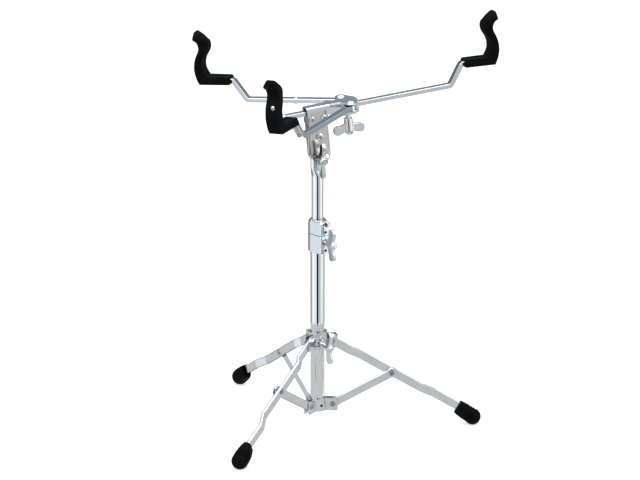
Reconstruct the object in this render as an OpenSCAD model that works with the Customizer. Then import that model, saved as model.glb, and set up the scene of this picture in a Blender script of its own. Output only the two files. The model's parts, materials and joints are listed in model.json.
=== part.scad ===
// Snare drum stand: flat-folding tripod base, two telescoping tubes with a
// height clamp and memory lock, a tilter, and a three-arm basket with rubber
// cradles. Millimetres, +Z up. The origin is on the floor on the axis of the
// lower tube, and +X runs along leg C.

/* [Tubes] */
// Outer diameter of the lower tube
base_tube_d = 19.05; // [18:0.05:20]
// Outer diameter of the upper tube
upper_tube_d = 15.875; // [15:0.025:16]
// Wall of both tubes
tube_wall = 1.2; // [1:0.1:1.2]
// Height of the lower tube's bottom end above the floor
base_tube_bottom = 22; // [20:0.5:24]
// Height of the lower tube's top end, inside the clamp
base_tube_top = 251.5; // [248:0.5:252]

/* [Tripod base] */
// Height of the brace pins in the bottom bracket
brace_pin_z = 30.8; // [28:0.1:34]
// Height of the leg pins in the leg collar, legs spread
leg_pin_z = 118; // [112:0.5:124]
// Distance of both rings of pins from the tube axis
pin_r = 20.3; // [20:0.1:22]
// Distance of the leg and brace rivets from the tube axis
rivet_r = 98.6; // [92:0.2:104]
// Width of a pressed leg or brace channel
channel_w = 4.6; // [4:0.1:5]
// Height of a leg channel
leg_h = 11.5; // [10:0.1:12]
// Height of a brace channel
brace_h = 11.2; // [10:0.1:11.5]
// Sheet thickness of the leg and brace channels
channel_t = 1.1; // [0.9:0.1:1.3]
// Sideways step of a leg beside its brace
leg_jog_in = 5.4; // [5.2:0.1:6]
// Sideways offset of a leg at its foot
leg_jog_out = 12.8; // [11:0.1:14]
// Distance of the foot bulb from the tube axis
foot_r = 206; // [202:0.5:208]
// Radius of the rubber foot bulb
foot_bulb_r = 11.15; // [10.8:0.05:11.5]

/* [Height clamp] */
// Direction of the clamp and memory lock bosses
clamp_az = -55; // [-60:1:-50]
// Bottom of the height clamp
clamp_z = 242.2; // [241:0.1:243]
// Height of the height clamp
clamp_h = 24.2; // [23.5:0.1:24.6]
// Height of the memory lock
lock_h = 21.6; // [20:0.1:23]
// Outer radius of the clamp and memory lock around the tube
clamp_r = 12.4; // [12.2:0.1:13.5]

/* [Tilter] */
// Height of the tilt pivot
tilt_z = 398.1; // [394:0.1:402]
// Direction of the sliding basket arm
basket_az = 23.7; // [15:0.1:35]
// Rest tilt of the basket, sliding arm side up
basket_tilt = 5.4; // [0:0.1:12]
// Distance of the tilt clamp bolt below the pivot
tilt_bolt_drop = 29.5; // [28:0.1:31]

/* [Basket] */
// Distance of the arm rivets along the sliding arm
arm_rivet_x = 43.2; // [42:0.1:45]
// Distance of each arm rivet from the sliding arm's centre line
arm_rivet_y = 17.6; // [17.2:0.1:19]
// Angle of the left folding arm from the sliding arm
left_angle = 139.6; // [130:0.1:150]
// Angle of the front folding arm from the sliding arm
front_angle = 140.4; // [130:0.1:150]
// Length of a folding arm from its rivet to its upward bend
arm_len = 129.4; // [115:0.1:140]
// Width of the arms
arm_w = 10; // [9:0.1:10.2]
// Height of the arms' folded section
arm_h = 5.8; // [5.4:0.1:6]
// Width of the rubber cradles
cradle_w = 20; // [18:0.1:22]
// Outward droop of the sliding arm's cradle
slide_droop = 4.3; // [0:0.1:5]

/* [Wing bolts] */
// Span across the two wings
wing_span = 44; // [40:1:46]

/* [Hidden] */
$fn = 48;
eps = 0.01;
run_fit = 0.06;
gap = 0.3;

// Tripod linkage
spread = atan((leg_pin_z - brace_pin_z) / 2 / (rivet_r - pin_r));
link_len = (rivet_r - pin_r) / cos(spread);
pin_rad = 2.2;
pin_head_r = 3.6;
pin_head_h = 0.8;
ear_in = channel_w / 2 + gap;
ear_t = 1.6;
ear_out = ear_in + ear_t;
ear_end = 26.8;
leg_az = [120, -120, 0];
leg_len = 198;
leg_path = [[0, 0], [28, 0], [39, leg_jog_in], [134.5, leg_jog_in],
    [154, leg_jog_out], [leg_len, leg_jog_out]];
collar_z0 = leg_pin_z - 8.8;
collar_z1 = leg_pin_z + 13.5;
collar_bolt_z = leg_pin_z - 1.5;
collar_bolt_az = -60;
foot_mouth = [186.6, 23.5];
foot_bulb_z = foot_bulb_r - 0.5;

// Clamp and memory lock
lock_z = clamp_z + clamp_h + gap;
clamp_bolt_z = clamp_z + 15.3;
clamp_pin_z = clamp_z + 4.9;
lock_bolt_z = lock_z + 16.5;
lock_pin_z = lock_z + 5.4;
roll_pin_r = 1.8;
roll_pin_y = -1.2;
boss_face = 22;
boss_near = [boss_face - 1.4, -9.2];
boss_far = [boss_face, 5];

// Tilter
ear_half_x = 9.65;
ear_half_y = 5;
plate_in = ear_half_y + 0.4;
plate_t = 2;
plate_out = plate_in + plate_t;
pivot_r = 3.5;
tilt_bolt_r = 3;
tilt_slot_r = tilt_bolt_r + 0.35;
tilt_slot_half = 15.6;
screw_x = 8.4;
screw_z = 25.2;

// Basket levels, in the tilting frame
slide_z0 = 30.4;
slide_z1 = slide_z0 + arm_h;
arm_z0 = 32.7;
arm_z1 = arm_z0 + arm_h;
top_z0 = arm_z1 + 1.3;
top_t = 1.6;
floor_z0 = 30.6;
floor_t = 1.8;
slide_bend = 190.5;
slide_tail = -51;
cradle_run = 64;
cradle_z = 57.5;
slide_cradle_z = 55.5;
strap_t = 3;
housing_x0 = -18;
housing_x1 = 58;
wing_bolt_x = 44.5;
strap_x = 20.4;
cradle_screw_z = 34;
brace_eye_r = 6.8;
plate_half = 13.6;
lobe_r = 6.4;

// Control points of a cradle's outline, from its outer bottom corner: distance out, height
cradle_back = [[0, 0], [4, 9], [6, 22], [3, 36], [-4, 48], [-2, 57], [5, 65], [2.5, 71]];
cradle_front = [[0, 71.5], [-8, 66], [-16, 58], [-16, 46], [-6, 34], [-4.5, 20], [-10, 10.4]];
cradle_seat = [[-39, 10.4], [-42.6, 10.4], [-43.6, 0], [-40, 0]];

// ---------- shared shapes ----------

module ring(r_out, r_in, z0, z1) {
    translate([0, 0, z0]) difference() {
        cylinder(r = r_out, h = z1 - z0);
        translate([0, 0, -1]) cylinder(r = r_in, h = z1 - z0 + 2);
    }
}

// Cylinder along Y between two sideways distances
module ycyl(r, y0, y1) {
    translate([0, y1, 0]) rotate([90, 0, 0]) cylinder(r = r, h = y1 - y0);
}

// Cylinder along X between two distances
module xcyl(r, x0, x1) {
    translate([x0, 0, 0]) rotate([0, 90, 0]) cylinder(r = r, h = x1 - x0);
}

// Prism of an X-Z outline between two sideways distances
module xz_plate(y0, y1) {
    translate([0, y1, 0]) rotate([90, 0, 0]) linear_extrude(height = y1 - y0) children();
}

// Smooth curve through the middles of the lines between control points, ends kept
function corner(a, b, c, t) = (a + b) / 2 * pow(1 - t, 2) + b * 2 * t * (1 - t) + (b + c) / 2 * pow(t, 2);
function smooth(p, n = 4) = concat([p[0]],
    [for (k = [1:len(p) - 2]) for (i = [0:n]) if (i < n || k == len(p) - 2)
        corner(p[k - 1], p[k], p[k + 1], i / n)],
    [p[len(p) - 1]]);

// Wing bolt along +X: plain shank from x0, hub from x1 to x2, wings in the X-Z plane
module wing_bolt(x0, x1, x2, shank_r) {
    reach = wing_span / 2;
    xcyl(shank_r, x0, x1 + 1);
    xcyl(4.6, x1, x2 - 4);
    translate([x2 - 4 - eps, 0, 0]) rotate([0, 90, 0]) cylinder(r1 = 4.6, r2 = 3.2, h = 4);
    for (s = [-1, 1]) wing_lobe(x1, x2, s * reach);
}

module wing_lobe(x1, x2, reach) {
    s = sign(reach);
    r = abs(reach);
    root = [[x1 + 2, 0], [x1 + 2, s * 4]];
    blade = [[x2 - 13.6, s * (r - 7)], [x2 - 1.5, s * (r - 6.6)]];
    tip = [[x2 - 3, s * 8], [x2 - 4.5, s * 4], [x2 - 4.5, 0]];
    xz_plate(-1.5, 1.5) union() {
        polygon(concat(root, blade, tip));
        translate([x2 - lobe_r - 1, s * (r - lobe_r)]) circle(r = lobe_r);
    }
}

module pan_head(r, h) {
    difference() {
        union() {
            cylinder(r = r, h = h * 0.55);
            translate([0, 0, h * 0.55 - eps]) cylinder(r1 = r, r2 = r * 0.62, h = h * 0.45);
        }
        for (a = [0, 90]) rotate([0, 0, a]) translate([-r * 0.55, -0.45, h * 0.4]) cube([r * 1.1, 0.9, h]);
    }
}

// ---------- tripod ----------

module bracket_ears(z0, z1, chamfer) {
    for (a = leg_az) rotate([0, 0, a]) for (s = [-1, 1])
        xz_plate(min(s * ear_in, s * ear_out), max(s * ear_in, s * ear_out))
            polygon([[base_tube_d / 2 + 1, z0], [ear_end, z0], [ear_end, z1 - chamfer],
                [ear_end - chamfer, z1], [base_tube_d / 2 + 1, z1]]);
}

module pin_holes(z) {
    for (a = leg_az) rotate([0, 0, a]) translate([pin_r, 0, z]) ycyl(pin_rad, -ear_out - 1, ear_out + 1);
}

module hinge_pins(z) {
    for (a = leg_az) rotate([0, 0, a]) translate([pin_r, 0, z]) difference() {
        union() {
            ycyl(pin_rad, -ear_out, ear_out);
            ycyl(pin_head_r, -ear_out - pin_head_h, -ear_out);
            ycyl(pin_head_r, ear_out, ear_out + pin_head_h);
        }
        for (s = [-1, 1]) ycyl(1.3, s * (ear_out + 0.4) - 0.5, s * (ear_out + 0.4) + 0.5);
    }
}

module base_tube() color("gainsboro") difference() {
    ring(base_tube_d / 2, base_tube_d / 2 - tube_wall, base_tube_bottom, base_tube_top);
    rotate([0, 0, collar_bolt_az]) translate([0, 0, brace_pin_z - 1]) xcyl(1.9, 0, 20);
}

module bottom_bracket() color("gainsboro") difference() {
    union() {
        ring(11.8, base_tube_d / 2, base_tube_bottom, brace_pin_z + 8.2);
        bracket_ears(base_tube_bottom - 0.5, brace_pin_z + 8.2, 2);
    }
    translate([0, 0, base_tube_bottom - 2]) cylinder(r = base_tube_d / 2, h = 40);
    pin_holes(brace_pin_z);
    rotate([0, 0, collar_bolt_az]) translate([0, 0, brace_pin_z - 1]) xcyl(1.9, 5, 20);
}

module bracket_pins() color("silver") hinge_pins(brace_pin_z);

module bracket_lock_pin() color("dimgray") rotate([0, 0, collar_bolt_az])
        translate([0, 0, brace_pin_z - 1]) difference() {
    xcyl(1.9, 8.4, 12.1);
    xcyl(1.1, 8, 13);
}

module leg_collar() color("gainsboro") difference() {
    union() {
        ring(11.9, base_tube_d / 2, collar_z0, collar_z1);
        ring(13.2, base_tube_d / 2, collar_z0, collar_z0 + 3);
        ring(13.2, base_tube_d / 2, collar_z1 - 3.4, collar_z1);
        bracket_ears(collar_z0, collar_z1 - 3.4, 3);
        rotate([0, 0, collar_bolt_az]) translate([0, 0, collar_bolt_z]) xcyl(5.2, 10, 17.5);
    }
    translate([0, 0, collar_z0 - 2]) cylinder(r = base_tube_d / 2 + run_fit, h = 40);
    pin_holes(leg_pin_z);
    rotate([0, 0, collar_bolt_az]) translate([0, 0, collar_bolt_z]) xcyl(3 + run_fit, 5, 20);
}

module collar_pins() color("silver") hinge_pins(leg_pin_z);

module collar_wing_bolt() color("gainsboro") rotate([0, 0, collar_bolt_az]) translate([0, 0, collar_bolt_z])
    wing_bolt(base_tube_d / 2 + gap, 24, 42, 3);

module leg_plan(w0, w1, s0) {
    polygon(concat([[s0, w0]], [for (i = [1:5]) leg_path[i] + [0, w0]],
        [for (i = [5:-1:1]) leg_path[i] + [0, w1]], [[s0, w1]]));
}

module leg_envelope() {
    translate([0, 0, -leg_h / 2]) linear_extrude(height = leg_h) leg_plan(-channel_w / 2, channel_w / 2, 0);
}

module leg_frame(k) rotate([0, 0, leg_az[k]]) translate([pin_r, 0, leg_pin_z]) rotate([0, spread, 0])
    children();

module leg(k) color("gainsboro") leg_frame(k) difference() {
    union() {
        leg_envelope();
        ycyl(leg_h / 2, -channel_w / 2, channel_w / 2);
    }
    translate([0, 0, -leg_h / 2 - 1]) linear_extrude(height = leg_h + 1 - channel_t)
        leg_plan(-channel_w / 2 + channel_t, channel_w / 2 - channel_t, -leg_h);
    ycyl(pin_rad + run_fit, -channel_w, channel_w);
    translate([link_len, 0, 0]) ycyl(pin_rad, 0, 20);
}

module leg_a() leg(0);
module leg_b() leg(1);
module leg_c() leg(2);

module leg_rivet(k) color("silver") leg_frame(k) translate([link_len, leg_jog_in, 0]) difference() {
    union() {
        ycyl(pin_rad, -channel_w / 2, channel_w / 2);
        ycyl(pin_head_r, channel_w / 2, channel_w / 2 + pin_head_h);
    }
    ycyl(1.3, channel_w / 2 + 0.3, channel_w / 2 + 2);
}

module leg_rivet_a() leg_rivet(0);
module leg_rivet_b() leg_rivet(1);
module leg_rivet_c() leg_rivet(2);

module foot(k) color("dimgray") difference() {
    rotate([0, 0, leg_az[k]]) difference() {
        dx = foot_r - foot_mouth[0];
        dz = foot_bulb_z - foot_mouth[1];
        l = norm([dx, dz]);
        union() {
            translate([foot_mouth[0], leg_jog_out, foot_mouth[1]]) rotate([0, 90 - atan2(dz, dx), 0])
                rotate_extrude()
                polygon(concat([[0, -1.5], [8.4, -1.5], [9.2, -0.6], [9.6, 8]],
                    // three moulded grooves
                    [for (g = [0:2]) for (q = [[0.3, -0.4], [-0.5, 0], [-0.5, 0.8], [0.4, 1.2]])
                        [9.6 + 0.4 * g + q[0], 12.8 + 3 * g + q[1]]],
                    [[foot_bulb_r - 0.03, l], [0, l]]));
            translate([foot_r, leg_jog_out, foot_bulb_z]) sphere(r = foot_bulb_r);
        }
        translate([foot_r - 60, leg_jog_out - 30, -20]) cube([120, 60, 20]);
    }
    leg_frame(k) leg_envelope();
}

module foot_a() foot(0);
module foot_b() foot(1);
module foot_c() foot(2);

module brace_frame(k) rotate([0, 0, leg_az[k]]) translate([pin_r, 0, brace_pin_z])
    rotate([0, -spread, 0]) children();

module brace(k) color("gainsboro") brace_frame(k) difference() {
    union() {
        translate([0, -channel_w / 2, -brace_h / 2]) cube([link_len, channel_w, brace_h]);
        ycyl(brace_h / 2, -channel_w / 2, channel_w / 2);
        translate([link_len, 0, 0]) ycyl(brace_eye_r, -channel_w / 2, channel_w / 2);
    }
    translate([-brace_h, -channel_w / 2 + channel_t, -brace_h])
        cube([link_len + 2 * brace_h, channel_w - 2 * channel_t, 1.5 * brace_h - channel_t]);
    ycyl(pin_rad + run_fit, -channel_w, channel_w);
    translate([link_len, 0, 0]) ycyl(pin_rad, -channel_w, channel_w);
}

module brace_a() brace(0);
module brace_b() brace(1);
module brace_c() brace(2);

module brace_rivet(k) color("silver") brace_frame(k) translate([link_len, 0, 0]) difference() {
    union() {
        ycyl(pin_rad, -channel_w / 2, channel_w / 2);
        ycyl(pin_head_r, -channel_w / 2 - pin_head_h, -channel_w / 2);
    }
    ycyl(1.3, -channel_w / 2 - 2, -channel_w / 2 - 0.3);
}

module brace_rivet_a() brace_rivet(0);
module brace_rivet_b() brace_rivet(1);
module brace_rivet_c() brace_rivet(2);

// ---------- height clamp and memory lock ----------

// Where a line from point p touches the round part, on the side -1 or 1
function touch(p, side) = let (a = atan2(p[1], p[0]) + side * acos(clamp_r / norm(p)))
    clamp_r * [cos(a), sin(a)];

module clamp_plan() {
    circle(r = clamp_r);
    polygon([[0, 0], touch(boss_near, -1), boss_near, [boss_face, boss_near[1] + 1.4],
        boss_far, touch(boss_far, 1)]);
}

module clamp_body() color("gainsboro") rotate([0, 0, clamp_az]) difference() {
    translate([0, 0, clamp_z]) linear_extrude(height = clamp_h) clamp_plan();
    translate([0, 0, clamp_z - 1]) cylinder(r = base_tube_d / 2, h = clamp_h + 2);
    translate([0, 0, clamp_bolt_z]) xcyl(3 + run_fit, 5, 30);
    translate([0, roll_pin_y, clamp_pin_z]) xcyl(roll_pin_r, 14, 30);
}

module clamp_bush() color("whitesmoke") difference() {
    ring(base_tube_d / 2, upper_tube_d / 2 + run_fit, base_tube_top, clamp_z + clamp_h - 0.4);
    rotate([0, 0, clamp_az]) translate([0, 0, clamp_bolt_z]) xcyl(3.4, 5, 30);
}

module clamp_pin() color("dimgray") rotate([0, 0, clamp_az])
        translate([0, roll_pin_y, clamp_pin_z]) difference() {
    xcyl(roll_pin_r, 14, boss_face + 0.3);
    xcyl(1.1, 16, 30);
}

module clamp_wing_bolt() color("gainsboro") rotate([0, 0, clamp_az]) translate([0, 0, clamp_bolt_z])
    wing_bolt(upper_tube_d / 2 + gap, 25.5, 44, 3);

module memory_lock() color("gainsboro") rotate([0, 0, clamp_az]) difference() {
    translate([0, 0, lock_z]) linear_extrude(height = lock_h) clamp_plan();
    translate([0, 0, lock_z - 1]) cylinder(r = upper_tube_d / 2 + run_fit, h = lock_h + 2);
    translate([0, 0, lock_bolt_z]) xcyl(2.5 + run_fit, 5, 30);
    translate([0, roll_pin_y, lock_pin_z]) xcyl(roll_pin_r, 14, 30);
}

module memory_pin() color("dimgray") rotate([0, 0, clamp_az])
        translate([0, roll_pin_y, lock_pin_z]) difference() {
    xcyl(roll_pin_r, 14, boss_face + 0.3);
    xcyl(1.1, 16, 30);
}

module memory_key_bolt() color("silver") rotate([0, 0, clamp_az]) translate([0, 0, lock_bolt_z]) {
    xcyl(2.5, upper_tube_d / 2 + gap, boss_face + 1);
    xcyl(4.2, boss_face + gap, boss_face + 1.6);
    translate([boss_face + 1.5, -2.6, -2.6]) cube([5.2, 5.2, 5.2]);
}

// ---------- upper tube and tilter ----------

module ear_plan() {
    square([2 * (ear_half_x - ear_half_y), 2 * ear_half_y], center = true);
    for (s = [-1, 1]) translate([s * (ear_half_x - ear_half_y), 0]) circle(r = ear_half_y);
}

module upper_tube() color("gainsboro") rotate([0, 0, basket_az]) difference() {
    union() {
        translate([0, 0, 120]) cylinder(r = upper_tube_d / 2, h = 222);
        hull() {
            translate([0, 0, 341.9]) cylinder(r = upper_tube_d / 2, h = 0.1, $fn = 32);
            translate([0, 0, 356.9]) linear_extrude(height = 0.1) ear_plan($fn = 32);
        }
        translate([0, 0, 356.9]) linear_extrude(height = tilt_z - 356.9) ear_plan();
        translate([0, 0, tilt_z]) ycyl(ear_half_x, -ear_half_y, ear_half_y);
    }
    translate([0, 0, 119]) cylinder(r = upper_tube_d / 2 - tube_wall, h = 220);
    translate([0, 0, tilt_z]) ycyl(pivot_r + run_fit, -20, 20);
    translate([0, 0, tilt_z - tilt_bolt_drop]) ycyl(tilt_bolt_r, -20, 20);
}

module tilt_bolt() color("silver") rotate([0, 0, basket_az]) translate([0, 0, tilt_z - tilt_bolt_drop]) {
    ycyl(tilt_bolt_r, -26, plate_out + gap + 1);
    ycyl(5.2, plate_out + gap, plate_out + gap + 1.6);
    ycyl(4, plate_out + gap + 1.5, plate_out + gap + 3);
}

module tilt_wing_nut() color("gainsboro")
        rotate([0, 0, basket_az - 90]) translate([0, 0, tilt_z - tilt_bolt_drop]) difference() {
    union() {
        xcyl(5.4, plate_out + gap, plate_out + gap + 1.4);
        xcyl(4.6, plate_out + gap + 1.3, 25);
        for (s = [-1, 1]) wing_lobe(8.4, 27.4, s * wing_span / 2);
    }
    xcyl(tilt_bolt_r + run_fit, 0, 40);
    xcyl(3.7, 23.5, 40);
}

module basket_frame() translate([0, 0, tilt_z]) rotate([0, 0, basket_az]) rotate([0, -basket_tilt, 0])
    children();

module tilter_outline() {
    lower = [[plate_half, -26], [9, -34], [3, -37]];
    polygon(concat([[-plate_half, 37], [plate_half, 37]], lower,
        [for (i = [2:-1:0]) [-lower[i][0], lower[i][1]]]));
}

module tilter_plate(y0) difference() {
    xz_plate(y0, y0 + plate_t) tilter_outline();
    ycyl(pivot_r, -20, 20);
    for (s = [-1, 1]) translate([s * screw_x, 0, screw_z]) ycyl(2, -20, 20);
    translate([0, y0 - 1, 0]) rotate([-90, 0, 0]) {
        rotate([0, 0, 90 - tilt_slot_half]) rotate_extrude(angle = 2 * tilt_slot_half)
            translate([tilt_bolt_drop - tilt_slot_r, 0]) square([2 * tilt_slot_r, plate_t + 2]);
        for (s = [-1, 1]) rotate([0, 0, 90 + s * tilt_slot_half])
            translate([tilt_bolt_drop, 0, 0]) cylinder(r = tilt_slot_r, h = plate_t + 2);
    }
}

module tilter_plate_front() color("tan") basket_frame() {
    tilter_plate(-plate_out);
    for (s = [-1, 1]) translate([s * 12.4 - 0.9, -plate_out - 0.9, -24]) cube([1.8, 1, 37]);
}

module tilter_plate_rear() color("tan") basket_frame() tilter_plate(plate_in);

module tilter_block() color("silver") basket_frame() difference() {
    translate([-15, -plate_in, 19.5]) cube([30, 2 * plate_in, 10.5]);
    for (s = [-1, 1]) translate([s * screw_x, 0, screw_z]) ycyl(2, -20, 20);
}

module tilter_screws() color("silver") basket_frame() for (s = [-1, 1])
        translate([s * screw_x, 0, screw_z]) {
    ycyl(2, -plate_out, plate_out + 2.4);
    translate([0, -plate_out, 0]) rotate([90, 0, 0]) pan_head(4, 2.4);
}

module tilter_nuts() color("silver") basket_frame() {
    for (s = [-1, 1]) translate([s * screw_x, plate_out, screw_z]) rotate([-90, 0, 0]) difference() {
        cylinder(r = 4, h = 2, $fn = 6);
        translate([0, 0, -1]) cylinder(r = 2, h = 5, $fn = 48);
    }
    translate([0, plate_out, 0]) rotate([-90, 0, 0]) difference() {
        cylinder(r = 6, h = 3, $fn = 6);
        translate([0, 0, -1]) cylinder(r = pivot_r, h = 5, $fn = 48);
    }
}

module pivot_screw() color("silver") basket_frame() {
    ycyl(pivot_r, -plate_out, plate_out + 3.6);
    translate([0, -plate_out, 0]) rotate([90, 0, 0]) pan_head(5, 2.6);
}

// ---------- basket ----------

// Outline of the cross piece that carries both arm rivets
module cross_plan() {
    for (s = [-1, 1]) translate([arm_rivet_x, s * arm_rivet_y]) circle(r = 9);
    half = [[24, 9], [34, 9], [40.5, arm_rivet_y + 8.5], [arm_rivet_x, arm_rivet_y],
        [arm_rivet_x + 9, arm_rivet_y], [housing_x1, 9]];
    polygon(concat(half, [for (i = [5:-1:0]) [half[i][0], -half[i][1]]]));
}

module slide_housing() color("gainsboro") basket_frame() difference() {
    union() {
        translate([housing_x0, -9, top_z0]) cube([housing_x1 - housing_x0, 18, top_t]);
        translate([0, 0, top_z0]) linear_extrude(height = top_t) cross_plan();
        // short flanges over the tilter plates
        for (s = [-1, 1]) translate([housing_x0, s * 8.2 - 0.8, 28]) cube([36, 1.6, top_z0 - 28 + eps]);
        // channel walls beside the sliding arm
        for (s = [-1, 1]) translate([16.5, s * 7.2 - 1.8, 24])
            cube([housing_x1 - 16.5, 3.6, top_z0 - 24 + eps]);
        // floor plates under the two folding arms
        translate([0, 0, floor_z0]) linear_extrude(height = floor_t) difference() {
            cross_plan();
            square([200, 12], center = true);
        }
        // threaded block for the slide wing bolt
        translate([wing_bolt_x - 10, -8, 22]) cube([20, 16, slide_z0 - gap - 22]);
    }
    for (s = [-1, 1]) translate([arm_rivet_x, s * arm_rivet_y, 0]) cylinder(r = 3, h = 60);
    translate([wing_bolt_x, 0, 10]) cylinder(r = 3 + run_fit, h = slide_z0 - 10 - 0.1);
    // window in both flanges
    translate([-13, -12, 27]) cube([25, 24, 8]);
    // lower edge of the walls rises towards the tilter
    translate([16, -10, 20]) cube([14, 20, 8]);
}

module arm_rivets() color("silver") basket_frame() for (s = [-1, 1])
        translate([arm_rivet_x, s * arm_rivet_y, 0]) {
    translate([0, 0, floor_z0 - 1]) cylinder(r = 3, h = top_z0 + top_t - floor_z0 + 1.5);
    translate([0, 0, floor_z0 - 1.4]) cylinder(r = 5, h = 1.4);
    translate([0, 0, top_z0 + top_t]) intersection() {
        translate([0, 0, -6.2]) sphere(r = 9);
        cylinder(r = 6.4, h = 4);
    }
}

module slide_wing_bolt() color("gainsboro") basket_frame() translate([wing_bolt_x, 0, slide_z0 - gap])
    rotate([0, 90, 0])
    wing_bolt(0, 18.5, 36.5, 3);

// Side outline of an arm: straight run, upward bend, strap inside the cradle
module arm_side(z0, bend, cz, inset) {
    k = 3.2;
    top = z0 + arm_h - inset;
    low = inset > 0 ? z0 - 2 : z0;
    strap_top = cz + 3.5 + strap_t - inset;
    strap_low = inset > 0 ? cz - 3 : cz + 1.2;
    polygon([[0, low + inset], [0, top], [bend - 1.5, top], [bend + 17, strap_top],
        [bend + 24, strap_top], [bend + 24, strap_low], [bend + 19, strap_low], [bend + k, low]]);
}

// Frame of an arm's end, drooped outward about the cradle's inner bottom edge
module end_frame(bend, cz, droop) translate([bend + strap_x, 0, cz]) rotate([0, droop, 0]) children();

module cradle_strap(bend, cz, droop) end_frame(bend, cz, droop) {
    run = cradle_run - strap_x - 1;
    translate([0, -arm_w / 2, 3.5]) cube([run, arm_w, strap_t]);
    translate([run - strap_t, -arm_w / 2, 3.5]) cube([strap_t, arm_w, 36.5]);
}

module arm_body(z0, bend, cz, droop) {
    difference() {
        xz_plate(-arm_w / 2, arm_w / 2) arm_side(z0, bend, cz, 0);
        xz_plate(-arm_w / 2 + 1.3, arm_w / 2 - 1.3) arm_side(z0, bend, cz, 1.3);
        for (s = [-1, 1]) translate([10, s * 2.3 - 0.35, z0 + arm_h - 0.45]) cube([bend - 14, 0.7, 1]);
    }
    cradle_strap(bend, cz, droop);
}

// Bore for the cradle's screw through the upright part of the strap
module screw_bore(bend, cz, droop) end_frame(bend, cz, droop)
    translate([cradle_run - strap_x - 10, 0, cradle_screw_z]) xcyl(1.6, 0, 20);

module folding_arm() difference() {
    union() {
        arm_body(arm_z0, arm_len, cradle_z, 0);
        translate([0, 0, arm_z0]) cylinder(r = 6.6, h = arm_h);
    }
    translate([0, 0, arm_z0 - 1]) cylinder(r = 3 + run_fit, h = arm_h + 2);
    screw_bore(arm_len, cradle_z, 0);
}

// Cradle from its outer bottom corner
module cradle_shape() {
    difference() {
        xz_plate(-cradle_w / 2, cradle_w / 2) polygon(concat(smooth(cradle_back), smooth(cradle_front),
            smooth(cradle_seat)));
        // shallow channel along the seat
        translate([-38, -5.5, 9.8]) cube([26, 11, 2]);
        // screw recess in the back
        translate([0, 0, cradle_screw_z]) xcyl(4.6, 0.6, 12);
        translate([0, 0, cradle_screw_z]) xcyl(1.6, -2, 12);
    }
}

module cradle_on(bend, cz, droop) end_frame(bend, cz, droop)
    translate([cradle_run - strap_x, 0, 0]) cradle_shape();

module cradle_screw_at(bend, cz, droop) end_frame(bend, cz, droop)
        translate([cradle_run - strap_x, 0, cradle_screw_z]) {
    xcyl(1.6, -4, 1);
    translate([0.6, 0, 0]) rotate([0, 90, 0]) pan_head(3.4, 1.9);
}

module left_frame() basket_frame() translate([arm_rivet_x, arm_rivet_y, 0]) rotate([0, 0, left_angle])
    children();
module front_frame() basket_frame() translate([arm_rivet_x, -arm_rivet_y, 0])
    rotate([0, 0, -front_angle]) children();

module arm_left() color("gainsboro") left_frame() difference() {
    folding_arm();
    translate([63, 0, 0]) cylinder(r = 2, h = 60);
}
module arm_left_rivet() color("silver") left_frame() translate([63, 0, 0]) {
    translate([0, 0, arm_z0 - 1.2]) cylinder(r = 2, h = arm_h + 1.7);
    translate([0, 0, arm_z0 - 1.2]) cylinder(r = 3.4, h = 1.2);
    translate([0, 0, arm_z1]) cylinder(r1 = 3, r2 = 2.2, h = 0.7);
}
module cradle_left() color("dimgray") left_frame() difference() {
    cradle_on(arm_len, cradle_z, 0);
    arm_core(arm_z0, arm_len, cradle_z, 0);
}
module cradle_screw_left() color("silver") left_frame() cradle_screw_at(arm_len, cradle_z, 0);

module arm_front() color("gainsboro") front_frame() folding_arm();
module cradle_front_rubber() color("dimgray") front_frame() difference() {
    cradle_on(arm_len, cradle_z, 0);
    arm_core(arm_z0, arm_len, cradle_z, 0);
}
module cradle_screw_front() color("silver") front_frame() cradle_screw_at(arm_len, cradle_z, 0);

// Space the arm's end fills inside its cradle
module arm_core(z0, bend, cz, droop) {
    xz_plate(-arm_w / 2, arm_w / 2) arm_side(z0, bend, cz, 0);
    cradle_strap(bend, cz, droop);
}

module arm_slide() color("gainsboro") basket_frame() difference() {
    union() {
        arm_body(slide_z0, slide_bend, slide_cradle_z, slide_droop);
        difference() {
            translate([slide_tail, -arm_w / 2, slide_z0]) cube([-slide_tail + eps, arm_w, arm_h]);
            translate([slide_tail - 1, -arm_w / 2 + 1.3, slide_z0 - 1])
                cube([-slide_tail + 3, arm_w - 2.6, arm_h - 0.3]);
        }
    }
    translate([-44, 0, 0]) cylinder(r = 2, h = 60);
    screw_bore(slide_bend, slide_cradle_z, slide_droop);
}

module slide_stop_rivet() color("silver") basket_frame() translate([-44, 0, 0]) {
    translate([0, 0, slide_z0 - 1.2]) cylinder(r = 2, h = arm_h + 1.7);
    translate([0, 0, slide_z0 - 1.2]) cylinder(r = 3.4, h = 1.2);
    translate([0, 0, slide_z1]) cylinder(r1 = 3, r2 = 2.2, h = 0.7);
}

module cradle_slide() color("dimgray") basket_frame() difference() {
    cradle_on(slide_bend, slide_cradle_z, slide_droop);
    arm_core(slide_z0, slide_bend, slide_cradle_z, slide_droop);
}
module cradle_screw_slide() color("silver") basket_frame()
    cradle_screw_at(slide_bend, slide_cradle_z, slide_droop);

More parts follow.
